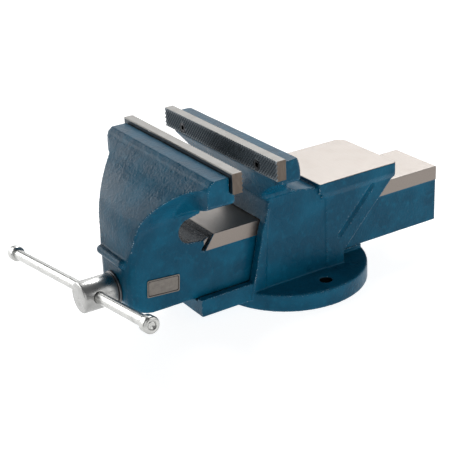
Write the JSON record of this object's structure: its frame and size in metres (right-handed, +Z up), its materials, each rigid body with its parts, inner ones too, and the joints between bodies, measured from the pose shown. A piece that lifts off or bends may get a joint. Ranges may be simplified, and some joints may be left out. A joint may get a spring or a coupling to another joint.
{
  "type": "bench vise",
  "caption": "Cast iron bench vise with a round fixed base, sliding front jaw on a lead screw, steel jaw plates, anvil and tommy bar handle.",
  "frame": {"origin": "centre of the round base's underside, on the bench", "axes": "+Z up, +Y along the lead screw away from the operator, +X to the operator's right"},
  "size_m": [0.3125, 0.4112, 0.1754],
  "materials": {
    "enamel": "glossy dark blue enamel over cast iron, slightly orange-peeled",
    "ground_steel": "ground steel",
    "bright_steel": "turned and polished steel",
    "black_steel": "black oxide",
    "nut_iron": "plain machined iron",
    "badge_metal": "satin"
  },
  "bodies": {
    "root": {"fixed_body": "enamel", "fixed_jaw_plate": "ground_steel", "fixed_plate_screw_left": "black_steel", "fixed_plate_screw_right": "black_steel", "screw_nut": "nut_iron", "nut_bolt_front": "black_steel", "nut_bolt_rear": "black_steel", "nut_washer_front": "black_steel", "nut_washer_rear": "black_steel"},
    "sliding_jaw": {"moving_jaw": "enamel", "moving_jaw_plate": "ground_steel", "moving_plate_screw_left": "black_steel", "moving_plate_screw_right": "black_steel", "badge_plate": "badge_metal"},
    "screw": {"lead_screw": "bright_steel", "thrust_collar": "bright_steel", "thrust_washer": "bright_steel", "screw_spring": "bright_steel", "spring_washer": "bright_steel", "retaining_pin": "bright_steel"},
    "handle": {"handle_bar": "bright_steel", "handle_cap_left": "bright_steel", "handle_cap_right": "bright_steel"}
  },
  "joints": [
    {"name": "jaw_slide", "type": "slide", "parent": "root", "child": "sliding_jaw", "axis": [0, 1, 0], "range_m": [-0.164, 0.0355]},
    {"name": "screw_spin", "type": "hinge", "parent": "sliding_jaw", "child": "screw", "pos_m": [0, 0, 0.0485], "axis": [0, 1, 0], "range_deg": [-9810, 2100]},
    {"name": "handle_slide", "type": "slide", "parent": "screw", "child": "handle", "axis": [0.9888, 0, 0.1495], "range_m": [-0.09, 0.167]}
  ],
  "couplings": [
    {"joint": "jaw_slide", "follows": "screw_spin", "m_per_rad": 0.00095493}
  ]
}
